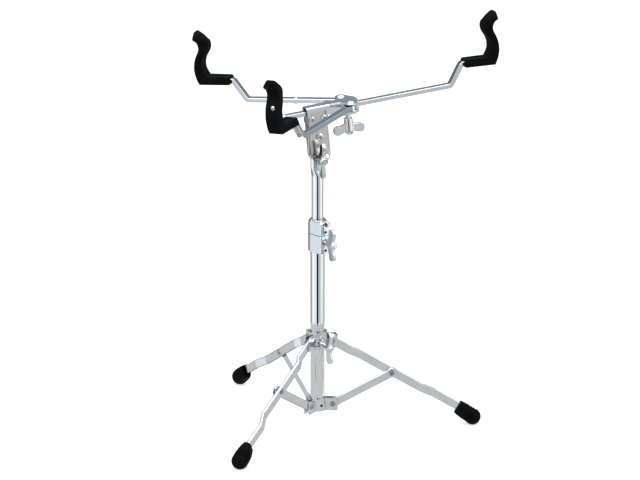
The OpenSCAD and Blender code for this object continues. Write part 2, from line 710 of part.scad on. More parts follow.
base_tube();
bottom_bracket();
bracket_pins();
bracket_lock_pin();
clamp_body();
clamp_bush();
clamp_pin();
leg_collar();
collar_pins();
collar_wing_bolt();
leg_a();
leg_b();
leg_c();
foot_a();
foot_b();
foot_c();
leg_rivet_a();
leg_rivet_b();
leg_rivet_c();
brace_a();
brace_b();
brace_c();
brace_rivet_a();
brace_rivet_b();
brace_rivet_c();
clamp_wing_bolt();
memory_lock();
memory_pin();
memory_key_bolt();
upper_tube();
tilt_bolt();
tilt_wing_nut();
slide_housing();
tilter_block();
tilter_plate_front();
tilter_plate_rear();
tilter_screws();
tilter_nuts();
pivot_screw();
arm_rivets();
slide_wing_bolt();
arm_slide();
slide_stop_rivet();
cradle_slide();
cradle_screw_slide();
arm_left();
arm_left_rivet();
cradle_left();
cradle_screw_left();
arm_front();
cradle_front_rubber();
cradle_screw_front();
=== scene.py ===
"""Snare drum stand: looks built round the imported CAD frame. Lengths in millimetres until to_world."""

import math

import bmesh
import bpy
from mathutils import Matrix, Vector
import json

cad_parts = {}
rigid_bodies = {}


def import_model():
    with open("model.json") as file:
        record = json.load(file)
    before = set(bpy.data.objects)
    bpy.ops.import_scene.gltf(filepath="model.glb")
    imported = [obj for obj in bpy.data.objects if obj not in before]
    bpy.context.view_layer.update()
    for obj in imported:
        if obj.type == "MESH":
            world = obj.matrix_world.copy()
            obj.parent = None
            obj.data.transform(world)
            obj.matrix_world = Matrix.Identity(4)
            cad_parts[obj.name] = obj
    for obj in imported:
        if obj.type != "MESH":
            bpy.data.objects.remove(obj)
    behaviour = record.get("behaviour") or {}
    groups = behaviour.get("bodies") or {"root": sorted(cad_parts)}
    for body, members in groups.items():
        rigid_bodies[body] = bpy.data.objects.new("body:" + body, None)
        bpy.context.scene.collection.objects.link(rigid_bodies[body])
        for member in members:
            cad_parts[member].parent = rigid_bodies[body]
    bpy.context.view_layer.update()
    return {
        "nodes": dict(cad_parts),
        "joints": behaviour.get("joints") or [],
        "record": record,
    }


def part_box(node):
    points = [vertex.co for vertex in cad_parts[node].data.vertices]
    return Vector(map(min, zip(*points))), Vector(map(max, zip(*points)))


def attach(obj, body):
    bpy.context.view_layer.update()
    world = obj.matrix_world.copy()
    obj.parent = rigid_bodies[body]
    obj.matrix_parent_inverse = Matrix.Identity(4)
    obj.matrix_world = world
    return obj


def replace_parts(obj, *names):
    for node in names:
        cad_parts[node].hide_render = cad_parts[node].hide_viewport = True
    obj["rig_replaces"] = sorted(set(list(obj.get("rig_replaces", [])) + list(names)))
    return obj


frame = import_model()
JOINTS = {j["name"]: j for j in frame["joints"]}
MM = 0.001
IDENTITY = Matrix.Identity(4)

# ---------- sizes repeated from part.scad, in millimetres and degrees ----------
# _R is a radius, _H a height, _W a width, _T a thickness, _AZ an azimuth; _X, _Y and _Z are places

LEG_W, LEG_H, LEG_LEN = 4.6, 11.5, 198
LEG_PATH = [(28, 0), (39, 5.4), (134.5, 5.4), (154, 12.8)]
BRACE_H, BRACE_END = 11.2, 6.8
RIVET_R = 98.6
SHEET_T = 1.1
FOOT_MOUTH, FOOT_BULB, FOOT_SIDE, BULB_R = (186.6, 23.5), (206, 10.65), 12.8, 11.15
MOUTH_HALF_W, MOUTH_HALF_H = 5.9, 9.4
ARM_W, ARM_H, ARM_T, ARM_EYE = 10, 5.8, 1.3, 6.6
ARM_Z, SLIDE_Z = 32.7, 30.4
ARM_BEND, SLIDE_BEND, SLIDE_TAIL = 129.4, 190.5, -51
LEFT_ANGLE, FRONT_ANGLE = 139.6, 140.4
CRADLE_RUN, CRADLE_Z, SLIDE_CRADLE_Z, CRADLE_W = 64, 57.5, 55.5, 20
STRAP_X, SLIDE_DROOP = 20.4, 4.3
WING_SPAN, WING_BOLT_X, SHANK_R = 44, 44.5, 3
TUBE_R, LOWER_R = 7.9375, 9.525
FLARE_Z, FLARE_LEN, TUBE_EAR_HALF = 342, 15, 5
RIVET_X, RIVET_Y, EAR_R = 43.2, 17.6, 9
HOUSING_END, HOUSING_HALF, HOUSING_LOW, HOUSING_TOP, HOUSING_T = 58, 9, 28, 41.4, 1.6
CROSS_X, FLANGE_Y, BLOCK_HALF = 17.5, 5.4, (10, 8)
CLAMP_R, CLAMP_FLOOR, CLAMP_H, LOCK_H, CLAMP_AZ = 12.4, 242.2, 24.2, 21.6, -55
BOSS_NEAR, BOSS_FAR = (20.6, -9.2), (22, 5)
ROLL_PIN_R, ROLL_PIN_Y = 1.8, -1.2
CLAMP_PIN, CLAMP_BOLT, CLAMP_BOLT_R = 4.9, 15.3, 3.06
LOCK_PIN, LOCK_BOLT, LOCK_BOLT_R = 5.4, 16.5, 2.56
GAP = 0.3

# ---------- shapes that only the looks have, in millimetres ----------

RIB_HALF, RIB_DEEP = 0.35, 0.5  # grooves along the arms' tops
GROOVE_W, GROOVE_H = 1.25, 1.6  # depth of the feet's grooves, sideways and upright
LOBE_R, WING_HALF = 6.4, 2.6  # a wing's round end and half its thickness
HOUSING_START, FOLD_R = -14.5, 3.6
LOCK_DROP = 2.3  # the memory lock's top is this much lower than its CAD node's


# ---------- frames of the CAD bodies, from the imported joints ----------

def basis(origin, x, y, z):
    """Frame with the given origin and unit axes."""
    m = Matrix((x, y, z)).transposed().to_4x4()
    m.translation = origin
    return m


def joint_pos(name):
    """A joint's place in millimetres."""
    return Vector(JOINTS[name]["pos_m"]) / MM


def joint_axis(name):
    return Vector(JOINTS[name]["axis"]).normalized()


def hinge_frame(name, pitch, side):
    """Frame of a leg or brace: X along it, Y its sideways axis, origin on its pin."""
    pos = joint_pos(name)
    lateral = joint_axis(name) * side
    out = Vector((pos.x, pos.y, 0)).normalized()
    x = out * math.cos(pitch) + Vector((0, 0, math.sin(pitch)))
    return basis(pos, x, lateral, x.cross(lateral))


def basket_frame():
    """Frame of the basket: X along the sliding arm, Z along the arm rivets, origin on the tilt pivot."""
    x = joint_axis("slide_arm_slide")
    z = joint_axis("left_arm_fold")
    return basis(joint_pos("basket_tilt"), x, z.cross(x), z)


def arm_frame(joint, turn):
    """Frame of a folding arm: X along it, origin on the tilt pivot's level under its rivet."""
    rivet = BASKET.inverted() @ joint_pos(joint)
    return BASKET @ Matrix.Translation((rivet.x, rivet.y, 0)) @ Matrix.Rotation(math.radians(turn), 4, "Z")


def bolt_frame(joint):
    """Frame of a wing bolt: X along its axis, wings in the X-Z plane."""
    x = joint_axis(joint)
    up = Vector((0, 0, 1)) if abs(x.z) < 0.9 else -joint_axis("slide_arm_slide")
    y = up.cross(x).normalized()
    return basis(joint_pos(joint), x, y, x.cross(y))


BASKET = basket_frame()
LEFT = arm_frame("left_arm_fold", LEFT_ANGLE)
FRONT = arm_frame("front_arm_fold", -FRONT_ANGLE)
SPREAD = math.atan(
    (joint_pos("leg_c_hinge").z - joint_pos("brace_c_hinge").z) / 2 / (RIVET_R - joint_pos("leg_c_hinge").x)
)
LINK = (RIVET_R - joint_pos("leg_c_hinge").x) / math.cos(SPREAD)


# ---------- node materials ----------

class Nodes:
    """Short calls for building one node tree."""

    def __init__(self, name):
        self.mat = bpy.data.materials.new(name)
        self.mat.use_nodes = True
        self.tree = self.mat.node_tree
        self.shader = next(n for n in self.tree.nodes if n.type == "BSDF_PRINCIPLED")
        self.coord = self.add("ShaderNodeTexCoord").outputs["Object"]

    def add(self, kind, **values):
        node = self.tree.nodes.new(kind)
        for key, value in values.items():
            if key in node.inputs:
                node.inputs[key].default_value = value
            else:
                setattr(node, key, value)
        return node

    def link(self, a, b):
        self.tree.links.new(a, b)

    def noise(self, scale, detail, stretch=None):
        node = self.add("ShaderNodeTexNoise", Scale=scale, Detail=detail, Roughness=0.5)
        if stretch:
            mapping = self.add("ShaderNodeMapping", Scale=stretch)
            self.link(self.coord, mapping.inputs["Vector"])
            self.link(mapping.outputs["Vector"], node.inputs["Vector"])
        else:
            self.link(self.coord, node.inputs["Vector"])
        return node.outputs["Fac"]

    def spread(self, value, low, high, to_low, to_high):
        node = self.add("ShaderNodeMapRange")
        self.link(value, node.inputs["Value"])
        for key, number in zip(("From Min", "From Max", "To Min", "To Max"), (low, high, to_low, to_high)):
            node.inputs[key].default_value = number
        return node.outputs["Result"]

    def math(self, operation, a, b):
        node = self.add("ShaderNodeMath", operation=operation)
        for socket, value in zip(node.inputs, (a, b)):
            if isinstance(value, (int, float)):
                socket.default_value = value
            else:
                self.link(value, socket)
        return node.outputs["Value"]

    def blend(self, fac, a, b):
        node = self.add("ShaderNodeMix", data_type="RGBA")
        for socket, value in zip((node.inputs[0], node.inputs[6], node.inputs[7]), (fac, a, b)):
            if isinstance(value, tuple):
                socket.default_value = (*value, 1)
            else:
                self.link(value, socket)
        return node.outputs[2]

    def edges(self, radius):
        """0 on flat surfaces, rising to 1 along edges."""
        soft = self.add("ShaderNodeBevel", Radius=radius, samples=4)
        true = self.add("ShaderNodeNewGeometry")
        dot = self.add("ShaderNodeVectorMath", operation="DOT_PRODUCT")
        self.link(soft.outputs["Normal"], dot.inputs[0])
        self.link(true.outputs["Normal"], dot.inputs[1])
        return self.spread(dot.outputs["Value"], 0.985, 0.8, 0.0, 1.0)

    def crevices(self, distance):
        """0 in the open, rising to 1 in corners and gaps."""
        node = self.add("ShaderNodeAmbientOcclusion", Distance=distance, samples=6)
        return self.spread(node.outputs["AO"], 0.75, 0.1, 0.0, 1.0)

    def bump(self, *layers):
        """Layers of (height, distance in metres, strength)."""
        normal = None
        for height, distance, strength in layers:
            node = self.add("ShaderNodeBump", Distance=distance, Strength=strength)
            self.link(height, node.inputs["Height"])
            if normal:
                self.link(normal, node.inputs["Normal"])
            normal = node.outputs["Normal"]
        self.link(normal, self.shader.inputs["Normal"])

    def finish(self, color, roughness, **values):
        self.link(color, self.shader.inputs["Base Color"])
        self.link(roughness, self.shader.inputs["Roughness"])
        for key, value in values.items():
            self.shader.inputs[key.replace("_", " ")].default_value = value
        return self.mat


def plated(name, bright, dull, shine, haze, grain, grain_scale, stretch=None):
    """Electroplated metal: handling marks, fine polishing lines, worn edges, and corners and gaps darkened
    as grime and painted shade.
    """
    n = Nodes(name)
    smudge = n.noise(38, 5)
    fine = n.noise(grain_scale, 4, stretch)
    speck = n.noise(1900, 2)
    worn, grime_and_shade = n.edges(0.0007), n.crevices(0.0055)
    color = n.blend(n.spread(smudge, 0.35, 0.7, 0, 1), bright, dull)
    worn = n.math("MULTIPLY", worn, n.spread(speck, 0.45, 0.7, 0.0, 0.5))
    color = n.blend(worn, color, tuple(c * 0.72 for c in dull))
    # corners and gaps found by ambient occlusion are darkened: painted shade, partly grime
    color = n.blend(n.math("MULTIPLY", grime_and_shade, 0.8), color, (0.045, 0.048, 0.052))
    rough = n.spread(smudge, 0.4, 0.75, shine, haze)
    rough = n.math("ADD", rough, n.spread(fine, 0.45, 0.8, 0.0, haze * 0.35))
    rough = n.math("ADD", rough, n.math("MULTIPLY", grime_and_shade, 0.12))
    n.bump((fine, 0.00004, grain), (smudge, 0.0006, 0.03))
    return n.finish(color, rough, Metallic=1.0)


def rubber():
    """Black moulded rubber: fine matt grain, faint flow marks, edges lightened as scuffs and as a painted
    sheen.
    """
    n = Nodes("rubber_black")
    cloud, grain, pores = n.noise(70, 4), n.noise(2600, 3), n.noise(900, 2)
    # lighter edges: partly scuffs, partly a painted sheen standing in for edge highlights
    scuffs_and_sheen = n.math("MULTIPLY", n.edges(0.0012), n.spread(cloud, 0.4, 0.65, 0.15, 1.0))
    color = n.blend(n.spread(cloud, 0.35, 0.75, 0, 1), (0.0010, 0.0012, 0.0014), (0.0028, 0.0032, 0.0036))
    color = n.blend(n.math("MULTIPLY", scuffs_and_sheen, 0.5), color, (0.012, 0.0135, 0.0145))
    rough = n.math("ADD", n.spread(pores, 0.3, 0.7, 0.42, 0.56), n.spread(grain, 0.3, 0.7, 0.0, 0.1))
    n.bump((pores, 0.00012, 0.25), (grain, 0.00006, 0.5))
    return n.finish(color, rough, Specular_IOR_Level=0.06)


def nylon():
    """Off-white moulded nylon, slightly cloudy."""
    n = Nodes("nylon_natural")
    cloud, grain = n.noise(120, 3), n.noise(1800, 2)
    color = n.blend(n.spread(cloud, 0.3, 0.7, 0, 1), (0.78, 0.76, 0.70), (0.66, 0.63, 0.56))
    n.bump((grain, 0.00005, 0.3))
    return n.finish(color, n.spread(cloud, 0.3, 0.7, 0.35, 0.5), Specular_IOR_Level=0.4)


MATERIALS = {
    "chrome_tube": plated("chrome_tube", (0.90, 0.92, 0.93), (0.84, 0.87, 0.89), 0.02, 0.05, 0.10, 30,
                          stretch=(40, 40, 1)),
    "chrome_sheet": plated("chrome_sheet", (0.84, 0.86, 0.88), (0.76, 0.79, 0.82), 0.05, 0.13, 0.25, 420),
    "chrome_cast": plated("chrome_cast", (0.87, 0.90, 0.92), (0.79, 0.83, 0.86), 0.04, 0.11, 0.30, 260),
    "nickel": plated("nickel_warm", (0.86, 0.84, 0.81), (0.78, 0.75, 0.71), 0.14, 0.26, 0.35, 700),
    "rivet_steel": plated("rivet_steel", (0.58, 0.58, 0.59), (0.34, 0.34, 0.35), 0.12, 0.26, 0.35, 500),
    # near-black pins: painted shade standing for the dark hollows of the roll pins
    "pin_steel": plated("pin_steel", (0.05, 0.05, 0.052), (0.02, 0.02, 0.022), 0.30, 0.45, 0.4, 600),
    "rubber": rubber(),
    "nylon": nylon(),
}


# ---------- mesh building ----------

def to_world(local):
    """A local frame in millimetres as a matrix from millimetres to world metres."""
    return Matrix.Scale(MM, 4) @ local


def move_to(obj, local):
    """Carries a mesh that was built about the origin into a local frame."""
    obj.data.transform(to_world(local) @ Matrix.Scale(1 / MM, 4))
    return obj


def new_object(name, verts, faces, local):
    """An object from points in millimetres, its faces turned outwards."""
    mesh = bpy.data.meshes.new(name)
    mesh.from_pydata([tuple(v) for v in verts], [], faces)
    mesh.transform(to_world(local))
    obj = bpy.data.objects.new(name, mesh)
    bpy.context.scene.collection.objects.link(obj)
    bm = bmesh.new()
    bm.from_mesh(mesh)
    bmesh.ops.recalc_face_normals(bm, faces=bm.faces)
    bm.to_mesh(mesh)
    bm.free()
    return obj


def bake(obj):
    """Applies every modifier of obj to its mesh."""
    evaluated = obj.evaluated_get(bpy.context.evaluated_depsgraph_get())
    mesh = bpy.data.meshes.new_from_object(evaluated)
    obj.modifiers.clear()
    old = obj.data
    obj.data = mesh
    bpy.data.meshes.remove(old)
    return obj


def shade(obj, angle):
    """Smooth shading, broken where faces meet at more than the angle."""
    obj.data.polygons.foreach_set("use_smooth", [True] * len(obj.data.polygons))
    obj.data.set_sharp_from_angle(angle=math.radians(angle))
    return obj


def flat_normals(obj):
    """Keeps wide faces flat in reflections, with only the bends between them shaded round."""
    mod = obj.modifiers.new("normals", "WEIGHTED_NORMAL")
    mod.keep_sharp, mod.weight = True, 100
    return obj


def round_edges(obj, width, segments, angle=40):
    """Rounds the edges where faces meet at more than the angle."""
    mod = obj.modifiers.new("edges", "BEVEL")
    mod.width, mod.segments, mod.limit_method = width * MM, segments, "ANGLE"
    mod.angle_limit = math.radians(angle)
    return obj


def cut(obj, *cutters, use_self=False):
    """Takes the cutters out of obj, then removes them."""
    for cutter in cutters:
        mod = obj.modifiers.new("cut", "BOOLEAN")
        mod.object, mod.operation, mod.solver, mod.use_self = cutter, "DIFFERENCE", "EXACT", use_self
    bake(obj)
    for cutter in cutters:
        bpy.data.objects.remove(cutter)
    return obj


def place(obj, body, slot, *nodes):
    """Gives a piece its body, its finish and the CAD nodes that it stands for."""
    obj.data.materials.clear()
    obj.data.materials.append(MATERIALS[slot])
    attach(obj, body)
    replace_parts(obj, *nodes)


def polar(r, degrees):
    """Across and up of a point at radius r."""
    return r * math.cos(math.radians(degrees)), r * math.sin(math.radians(degrees))


def arc(cx, cy, r, start, end, steps):
    """Points on an arc, angles in degrees."""
    around = [polar(r, start + (end - start) * i / steps) for i in range(steps + 1)]
    return [(cx + x, cy + y) for x, y in around]


def filleted(points, radius, steps):
    """A polyline with its inner corners rounded."""
    out = [Vector(points[0])]
    for a, b, c in zip(points, points[1:], points[2:]):
        a, b, c = Vector(a), Vector(b), Vector(c)
        u, v = (a - b).normalized(), (c - b).normalized()
        half = math.acos(max(-1, min(1, u.dot(v)))) / 2
        trim = min(radius / math.tan(half), (a - b).length * 0.45, (c - b).length * 0.45)
        p, q = b + u * trim, b + v * trim
        for i in range(steps + 1):
            t = i / steps
            out.append(p * (1 - t) ** 2 + b * 2 * t * (1 - t) + q * t * t)
    out.append(Vector(points[-1]))
    return out


def chaikin(points, rounds):
    """Closed outline with its corners cut smooth."""
    for _ in range(rounds):
        nxt = points[1:] + points[:1]
        points = [p for a, b in zip(points, nxt) for p in (
            (a[0] * 0.75 + b[0] * 0.25, a[1] * 0.75 + b[1] * 0.25),
            (a[0] * 0.25 + b[0] * 0.75, a[1] * 0.25 + b[1] * 0.75))]
    return points


def channel(width, height, sheet, corner, ribs=()):
    """Section of a pressed channel, open below: (sideways, up) points, with grooves at ribs on top."""
    w, h, t = width / 2, height / 2, sheet
    inner = max(corner - t, 0.3)
    top = []
    for at in ribs:
        low, high = at - RIB_HALF, at + RIB_HALF
        top += [(low, h), (low, h - RIB_DEEP), (high, h - RIB_DEEP), (high, h)]
    outside = [(-w, -h)] + arc(-w + corner, h - corner, corner, 180, 90, 5) + top
    outside += arc(w - corner, h - corner, corner, 90, 0, 5) + [(w, -h)]
    inside = [(w - t, -h)] + arc(w - t - inner, h - t - inner, inner, 0, 90, 3)
    inside += arc(-w + t + inner, h - t - inner, inner, 90, 180, 3) + [(-w + t, -h)]
    return outside + inside


def loft(name, rings, local=IDENTITY):
    """Closed skin over rings of points, every ring with the same count."""
    n = len(rings[0])
    verts = [v for ring in rings for v in ring]
    faces = []
    for k in range(len(rings) - 1):
        for i in range(n):
            j = (i + 1) % n
            faces.append((k * n + i, k * n + j, (k + 1) * n + j, (k + 1) * n + i))
    faces.append(tuple(range(n)))
    faces.append(tuple((len(rings) - 1) * n + i for i in range(n)))
    return new_object(name, verts, faces, local)


def tangents(path):
    """Direction of the path at each of its points."""
    out = []
    for i in range(len(path)):
        a, b = path[max(i - 1, 0)], path[min(i + 1, len(path) - 1)]
        out.append((b - a).normalized())
    return out


def resampled(path, step):
    """The same polyline with no gap longer than step."""
    out = [path[0]]
    for a, b in zip(path, path[1:]):
        count = max(1, math.ceil((b - a).length / step))
        out += [a + (b - a) * i / count for i in range(1, count + 1)]
    return out


def revolve(name, profile, local=IDENTITY, steps=40):
    """Profile of (along X, radius) turned about X."""
    rings = [[(x, *polar(r, 360 * i / steps)) for i in range(steps)] for x, r in profile]
    return loft(name, rings, local)


def prism(name, outline, y0, y1):
    """X-Z outline between two sideways distances."""
    return loft(name, [[(x, y, z) for x, z in outline] for y in (y0, y1)])


def plate(name, outline, z0, z1):
    """Outline seen from above, between two heights."""
    return loft(name, [[(x, y, z) for x, y in outline] for z in (z0, z1)])


def joined(name, objects):
    """One object from several."""
    bm = bmesh.new()
    for o in objects:
        bm.from_mesh(o.data)
    mesh = bpy.data.meshes.new(name)
    bm.to_mesh(mesh)
    bm.free()
    for o in objects:
        old = o.data
        bpy.data.objects.remove(o)
        bpy.data.meshes.remove(old)
    obj = bpy.data.objects.new(name, mesh)
    bpy.context.scene.collection.objects.link(obj)
    return obj


# ---------- legs and braces: pressed channels ----------

END_ANGLES = (15, 30, 42, 54, 64, 73, 80, 85, 89)
THIN_END = 0.12


def end_scale(s, length, end_r, half):
    """Height of a channel at s as a share of its own, with rounded ends."""
    if s < 0:
        return max(THIN_END, math.sqrt(max(0, half * half - s * s)) / half)
    if end_r and s > length - end_r:
        d = s - length
        round_h = math.sqrt(max(0.3, end_r ** 2 - d * d)) / half
        return round_h if d > 0 else max(1.0, round_h)
    return 1.0


def pressed_bar(name, path, height, local, length, end_r=0):
    """A leg or brace: a channel along path, round at its pin and, with end_r, at its far end too."""
    section = channel(LEG_W, height, SHEET_T, 1.55)
    half = height / 2
    head = [Vector((-polar(half, a)[0], path[0].y)) for a in range(0, 90, 12)]
    tail = [Vector((length + polar(end_r, a)[1], path[-1].y)) for a in END_ANGLES] if end_r else []
    line = head + resampled(path, 6) + tail
    rings = []
    for p, t in zip(line, tangents(line)):
        side = Vector((-t.y, t.x))
        k = end_scale(p.x, length, end_r, half)
        rings.append([(p.x + side.x * u, p.y + side.y * u, v * k) for u, v in section])
    return flat_normals(shade(loft(name, rings, local), 30))


for key in "abc":
    leg_at = hinge_frame(f"leg_{key}_hinge", -SPREAD, 1)
    path = filleted([(0, 0), *LEG_PATH, (LEG_LEN, LEG_PATH[-1][1])], 3.5, 4)
    leg = pressed_bar(f"leg_{key}_channel", path, LEG_H, leg_at, LEG_LEN)
    place(leg, f"leg_{key}", "chrome_sheet", f"leg_{key}")

    brace_at = hinge_frame(f"brace_{key}_hinge", SPREAD, -1)
    line = sorted([LINK * i / 14 for i in range(14)] + [LINK - 4, LINK - 2, LINK])
    line = [Vector((x, 0)) for x in line]
    brace = pressed_bar(f"brace_{key}_channel", line, BRACE_H, brace_at, LINK, BRACE_END)
    place(brace, f"brace_{key}", "chrome_sheet", f"brace_{key}")


# ---------- rubber feet ----------

def superellipse(half_w, half_h, power, steps):
    """Closed outline between an ellipse, at power 2, and a box."""
    def pulled(v):
        return math.copysign(abs(v) ** (2 / power), v)

    turns = [polar(1, 360 * i / steps) for i in range(steps)]
    return [(pulled(c) * half_w, pulled(s) * half_h) for c, s in turns]


def groove(t):
    """Depth of the three moulded grooves at t of the way to the bulb."""
    return sum(math.exp(-(((t - at) / 0.026) ** 4)) for at in (0.58, 0.735, 0.89))


FOOT_BOXY = 3.2


def foot_mesh(name, local):
    """A rubber boot: boxy round the leg's end, swelling into a ball that stands on the floor."""
    mouth, bulb = Vector(FOOT_MOUTH), Vector(FOOT_BULB)
    run = bulb - mouth
    mouth_turn, bulb_turn = -SPREAD, math.atan2(run.y, run.x)
    rings = []

    def ring(centre, turn, half_w, half_h, power):
        up = Vector((-math.sin(turn), math.cos(turn)))
        rings.append([
            (centre.x + up.x * v, FOOT_SIDE + u, max(0.0, centre.y + up.y * v))
            for u, v in superellipse(half_w, half_h, power, 56)
        ])

    # recess inside the mouth, then the rolled rim
    inward = Vector((math.cos(mouth_turn), math.sin(mouth_turn)))
    for along, inset in ((3.2, 1.9), (0.5, 1.7), (-0.5, 1.3), (-1.1, 0.6), (-0.9, 0.1)):
        ring(mouth + inward * along, mouth_turn, MOUTH_HALF_W - inset, MOUTH_HALF_H - 0.1 - inset, FOOT_BOXY)
    steps = 84
    for i in range(steps + 1):
        t = i / steps
        ease = t * t * (3 - 2 * t)
        dip = groove(t)
        grow = math.sin(min(1, t / 0.9) * math.pi / 2)
        half_w = MOUTH_HALF_W + (BULB_R - MOUTH_HALF_W) * grow - dip * GROOVE_W
        half_h = MOUTH_HALF_H + (BULB_R - MOUTH_HALF_H) * t - dip * GROOVE_H
        turn = mouth_turn + (bulb_turn - mouth_turn) * ease
        ring(mouth + run * t, turn, half_w, half_h, FOOT_BOXY + (2 - FOOT_BOXY) * ease)
    direction = run.normalized()
    for a in range(6, 90, 6):
        r, past = polar(BULB_R, a)
        ring(bulb + direction * past, bulb_turn, r, r, 2)
    return shade(loft(name, rings, local), 60)


for key, turn in (("a", 120), ("b", -120), ("c", 0)):
    foot = foot_mesh(f"foot_{key}_rubber", Matrix.Rotation(math.radians(turn), 4, "Z"))
    place(foot, f"leg_{key}", "rubber", f"foot_{key}")


# ---------- basket arms ----------

def arm_mesh(name, local, start, eye, z0, bend, cradle_z):
    """A ribbed channel from start, up at the bend and under its cradle, with or without a round eye."""
    section = channel(ARM_W, ARM_H, ARM_T, 0.9, ribs=(-2.3, 0, 2.3))
    mid = z0 + ARM_H / 2
    riser = [(bend + 0.9, mid), (bend + 18.4, cradle_z + 4.4), (bend + 27, cradle_z + 4.8)]
    path = filleted([(start, mid), *riser], 5, 7)
    line = resampled(path, 5)
    if eye:
        head = [Vector((-polar(ARM_EYE, a)[0], mid)) for a in range(4, 90, 9)]
        line = head + [p for p in resampled(path, 1.2) if p.x < 5] + [p for p in line if p.x >= 5]
    rings = []
    for p, t in zip(line, tangents(line)):
        up = Vector((-t.y, t.x))
        wide = 1.0
        if eye and p.x < 4.4:
            wide = max(THIN_END, math.sqrt(max(0, ARM_EYE ** 2 - p.x ** 2)) / (ARM_W / 2))
            wide = wide if p.x < 0 else max(1.0, wide)
        rings.append([(p.x + up.x * v, u * wide, p.y + up.y * v) for u, v in section])
    return flat_normals(shade(loft(name, rings, local), 30))


for side, local, start, eye, z0, bend, cradle_z in (
    ("left", LEFT, 0, True, ARM_Z, ARM_BEND, CRADLE_Z),
    ("front", FRONT, 0, True, ARM_Z, ARM_BEND, CRADLE_Z),
    ("slide", BASKET, SLIDE_TAIL, False, SLIDE_Z, SLIDE_BEND, SLIDE_CRADLE_Z),
):
    arm = arm_mesh(f"arm_{side}_channel", local, start, eye, z0, bend, cradle_z)
    place(arm, f"{side}_arm", "chrome_sheet", f"arm_{side}")


# ---------- rubber cradles ----------

CRADLE_BACK = [(0, 0), (4, 9), (6, 22), (3, 36), (-4, 48), (-2, 57), (5, 65), (2.5, 71)]
CRADLE_FRONT = [(0, 71.5), (-8, 66), (-16, 58), (-16, 46), (-6, 34), (-4.5, 20), (-10, 10.4)]
CRADLE_SEAT = [(-39, 10.4), (-42.6, 10.4), (-43.6, 0), (-40, 0)]
TIP_ROUND = 6.5


def smooth_curve(points, steps):
    """The curve through the middles of the lines between control points, its ends kept, as in the CAD."""
    out = [tuple(points[0])]
    for a, b, c in zip(points, points[1:], points[2:]):
        for i in range(steps + 1):
            t = i / steps
            wa, wb, wc = (1 - t) ** 2 / 2, 0.5 + t * (1 - t), t * t / 2
            point = tuple(a[k] * wa + b[k] * wb + c[k] * wc for k in (0, 1))
            if math.dist(point, out[-1]) > 0.05:
                out.append(point)
    return out + [tuple(points[-1])]


def cradle_mesh(name, local):
    """A moulded cradle, built with its outer bottom corner at the origin and then carried to local."""
    half = CRADLE_W / 2
    outline = [p for line in (CRADLE_BACK, CRADLE_FRONT, CRADLE_SEAT) for p in smooth_curve(line, 8)]
    obj = prism(name, outline, -half, half)
    bm = bmesh.new()
    bm.from_mesh(obj.data)
    for column in range(1, 10):
        bmesh.ops.bisect_plane(bm, geom=bm.verts[:] + bm.edges[:] + bm.faces[:], plane_no=(0, 1, 0),
                               plane_co=(0, (column / 5 - 1) * (half - 2.6) * MM, 0))
    for v in bm.verts:
        # the tip's outer corners are rounded off across its width
        y, z = abs(v.co.y) / MM, v.co.z / MM
        past = max(0.0, y - (half - TIP_ROUND))
        fall = TIP_ROUND - math.sqrt(max(0.0, TIP_ROUND ** 2 - past ** 2))
        v.co.z -= fall * min(1.0, max(0.0, (z - 58) / 13)) * MM
    bm.to_mesh(obj.data)
    bm.free()
    round_edges(obj, 2.3, 5, 50)
    bake(obj)
    recess = revolve("recess", [(0.2, 4.3), (14, 5.2)], Matrix.Translation((0, 0, 34)), 36)
    seat_hollow = prism("seat", [(-36.5, 9.4), (-13.5, 9.4), (-12, 12), (-38, 12)], -5.2, 5.2)
    bake(round_edges(cut(obj, recess, seat_hollow), 0.45, 2, 50))
    # the seat's flanks lean in towards its top, and the upright is crowned
    for v in obj.data.vertices:
        x, z = v.co.x / MM, v.co.z / MM
        seat = min(1, max(0, (-9 - x) / 4))
        lean = 0.24 * min(1, max(0, (z - 3.5) / 7)) * seat
        upright = min(1, max(0, (z - 12) / 10))
        lean += 0.10 * upright * min(1, max(0, (2 - x) / 14))
        v.co.y *= 1 - lean
    return shade(move_to(obj, local), 62)


def cradle_place(frame_matrix, bend, z, droop=0):
    """Frame at a cradle's outer bottom corner, drooped about its inner bottom edge."""
    hinge = Matrix.Translation((bend + STRAP_X, 0, z)) @ Matrix.Rotation(math.radians(droop), 4, "Y")
    return frame_matrix @ hinge @ Matrix.Translation((CRADLE_RUN - STRAP_X, 0, 0))


for side, piece, node, local in (
    ("left", "cradle_left_rubber", "cradle_left", cradle_place(LEFT, ARM_BEND, CRADLE_Z)),
    ("front", "cradle_front_pad", "cradle_front_rubber", cradle_place(FRONT, ARM_BEND, CRADLE_Z)),
    ("slide", "cradle_slide_rubber", "cradle_slide",
     cradle_place(BASKET, SLIDE_BEND, SLIDE_CRADLE_Z, SLIDE_DROOP)),
):
    place(cradle_mesh(piece, local), f"{side}_arm", "rubber", node)


# ---------- cast wing bolts ----------

def wing_outline(x1, x2, s, span):
    """One wing: a waist rising from the hub into a round lobe."""
    r = span / 2
    lobe = arc(x2 - LOBE_R - 0.9, r - LOBE_R, LOBE_R, 205, -25, 14)
    waist = [(x1 + 1.6, 0), (x1 + 1.8, 3.6), (x1 + 3.4, 7.2)]
    rise = [(x2 - 3.4, 8.0), (x2 - 4.6, 4.4), (x2 - 4.8, 0)]
    return chaikin([(x, z * s) for x, z in waist + lobe + rise], 2)


THREAD_PITCH, THREAD_DEPTH = 1.25, 0.35


def thread_mesh(x0, x1):
    """The bolt's shank: rolled rings from x0 on, running into the hub at x1."""
    root = SHANK_R - THREAD_DEPTH
    profile, x = [(x0, SHANK_R - 0.8), (x0 + 0.5, root)], x0 + 0.5
    while x < x1 - 0.6:
        rises = ((0.25, root), (0.5, SHANK_R), (0.62, SHANK_R), (0.9, root))
        profile += [(x + THREAD_PITCH * share, r) for share, r in rises]
        x += THREAD_PITCH
    return shade(revolve("thread", profile + [(x1 + 2, root)]), 60)


